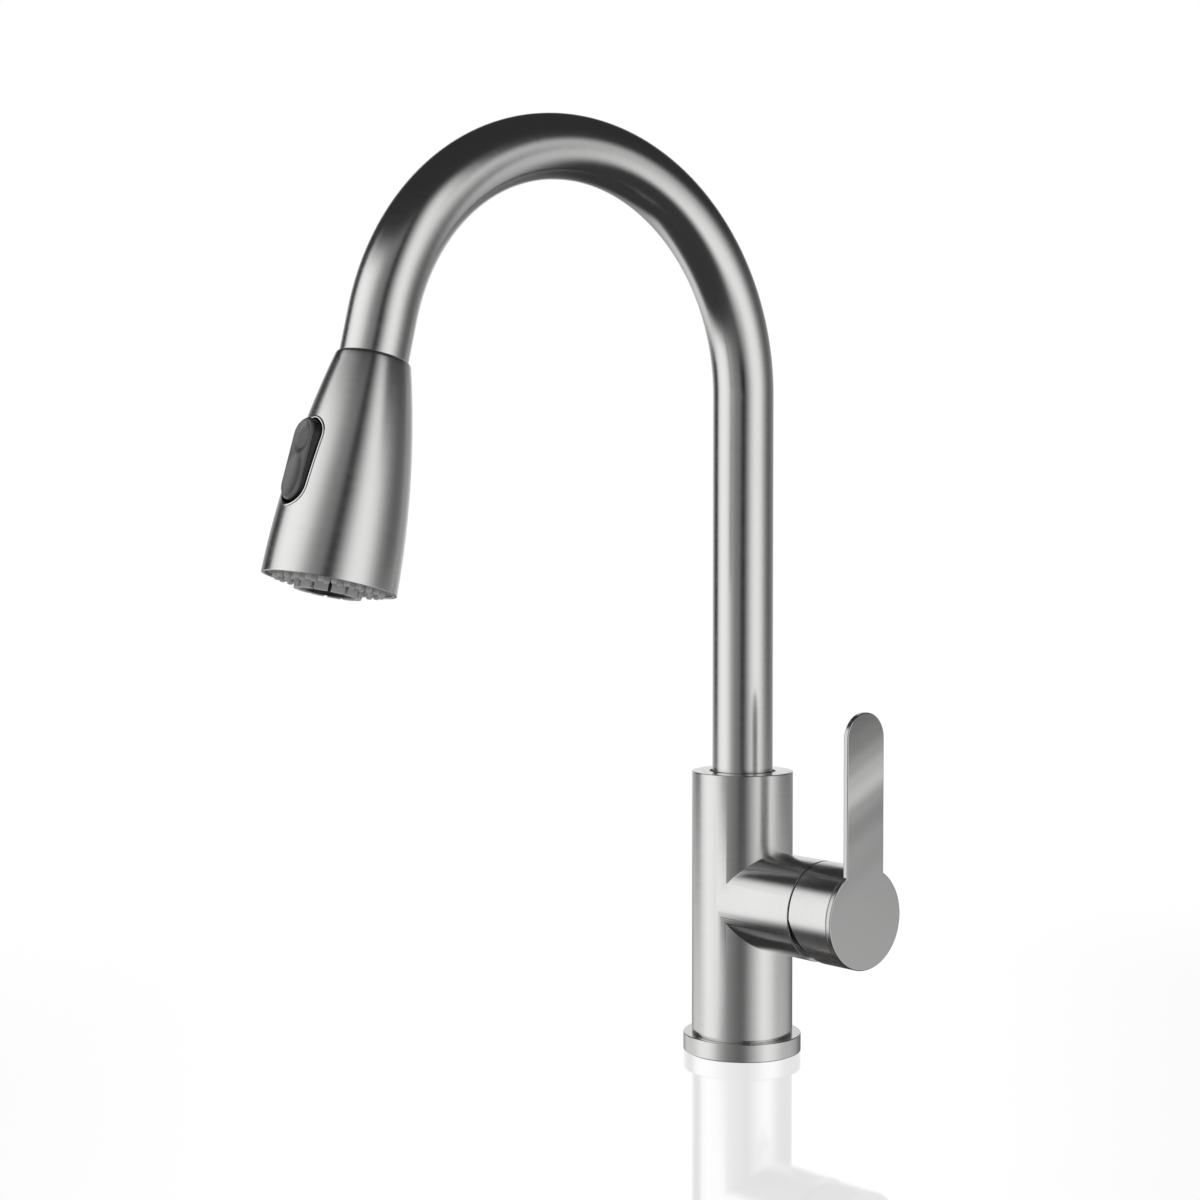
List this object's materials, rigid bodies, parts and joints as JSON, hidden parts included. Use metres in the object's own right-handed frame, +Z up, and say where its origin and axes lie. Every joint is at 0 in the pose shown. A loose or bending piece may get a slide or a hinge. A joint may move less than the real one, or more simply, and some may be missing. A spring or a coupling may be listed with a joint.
{
  "type": "pull-down kitchen faucet",
  "caption": "Single-lever deck-mounted kitchen faucet with a swivelling gooseneck spout and a conical pull-down spray head with a rocker button, in brushed steel.",
  "frame": {"origin": "on the column's axis in the deck plane, at the underside of the base ring", "axes": "+Z up along the column; -Y the way the spout reaches; +X out along the lever's axis"},
  "size_m": [0.1048, 0.2801, 0.5268],
  "materials": {
    "brushed_metal": "fine brushed stainless, grain round the body and along the spout",
    "lever_metal": "satin stainless plate",
    "plain_steel": "machined steel",
    "brass": "machined brass",
    "black_plastic": "fine satin black plastic",
    "button_plastic": "satin dark grey plastic",
    "grey_plastic": "pale grey moulded plastic",
    "nozzle_rubber": "pale translucent silicone rubber",
    "black_rubber": "black rubber",
    "ceramic": "lapped white ceramic",
    "hose_nylon": "grey braided nylon over a plastic hose"
  },
  "bodies": {
    "faucet_body": {"base_ring": "brushed_metal", "base_gasket": "black_rubber", "body": "brushed_metal", "shank": "brass", "rubber_washer": "black_rubber", "steel_washer": "plain_steel", "mounting_nut": "brass", "clamp_screws": "plain_steel", "valve_block": "brass", "outlet_pipe": "plain_steel", "outlet_nipple": "brass", "nipple_o_ring": "black_rubber", "hose_lower": "hose_nylon", "hose_coupler": "black_plastic", "cartridge_housing": "black_plastic", "port_seals": "black_rubber", "fixed_disc": "ceramic", "retaining_nut": "brass", "dome_cap": "black_plastic", "top_bushing": "black_plastic", "swivel_insert": "brass", "swivel_o_rings": "black_rubber", "lower_bushing": "black_plastic"},
    "cartridge_turn": {"cartridge_rotor": "grey_plastic", "stem_pin": "plain_steel"},
    "cartridge_slide": {"moving_disc": "ceramic", "disc_carrier": "grey_plastic"},
    "lever": {"cartridge_stem": "plain_steel", "handle_hub": "brushed_metal", "lever_plate": "lever_metal", "set_screw": "plain_steel", "screw_plug": "grey_plastic"},
    "spout": {"spout_tube": "brushed_metal", "spout_collar": "brass", "snap_ring": "plain_steel", "docking_sleeve": "black_plastic", "hose_upper": "hose_nylon"},
    "spray_head": {"hose_end": "hose_nylon", "hose_ferrule": "plain_steel", "hose_connector": "brass", "head_collar": "black_plastic", "head_shell": "brushed_metal", "head_core": "grey_plastic", "check_valve": "grey_plastic", "button_bezel": "black_plastic", "button_pin": "plain_steel", "nozzle_mat": "nozzle_rubber", "face_plate": "grey_plastic", "aerator_housing": "black_plastic", "aerator_screen": "plain_steel"},
    "rocker": {"spray_button": "button_plastic"},
    "diverter": {"diverter_spool": "brass", "spool_o_ring": "black_rubber"}
  },
  "joints": [
    {"name": "spout_swivel", "type": "hinge", "parent": "faucet_body", "child": "spout", "pos_m": [0, 0, 0.115], "axis": [0, 0, 1], "continuous": true},
    {"name": "spray_pull", "type": "slide", "parent": "spout", "child": "spray_head", "axis": [0, -0.2317, -0.9728], "range_m": [0, 0.2], "stiffness_N_per_m": 8, "springref_m": -1, "deforming": ["hose_end"]},
    {"name": "spray_rocker", "type": "hinge", "parent": "spray_head", "child": "rocker", "pos_m": [0, -0.23275, 0.26794], "axis": [-1, 0, 0], "range_deg": [0, 5]},
    {"name": "diverter_slide", "type": "slide", "parent": "spray_head", "child": "diverter", "axis": [0, 0.9728, -0.2317], "range_m": [0, 0.001]},
    {"name": "lever_turn", "type": "hinge", "parent": "faucet_body", "child": "cartridge_turn", "pos_m": [0.043, 0, 0.0718], "axis": [1, 0, 0], "range_deg": [-45, 45]},
    {"name": "lever_lift", "type": "hinge", "parent": "cartridge_turn", "child": "lever", "pos_m": [0.043, 0, 0.0718], "axis": [0, 1, 0], "range_deg": [0, 16]},
    {"name": "disc_slide", "type": "slide", "parent": "cartridge_turn", "child": "cartridge_slide", "axis": [0, 0, 1], "range_m": [0, 0.0024]}
  ],
  "couplings": [
    {"joint": "disc_slide", "follows": "lever_lift", "m_per_rad": 0.008},
    {"joint": "diverter_slide", "follows": "spray_rocker", "m_per_rad": 0.0102}
  ]
}
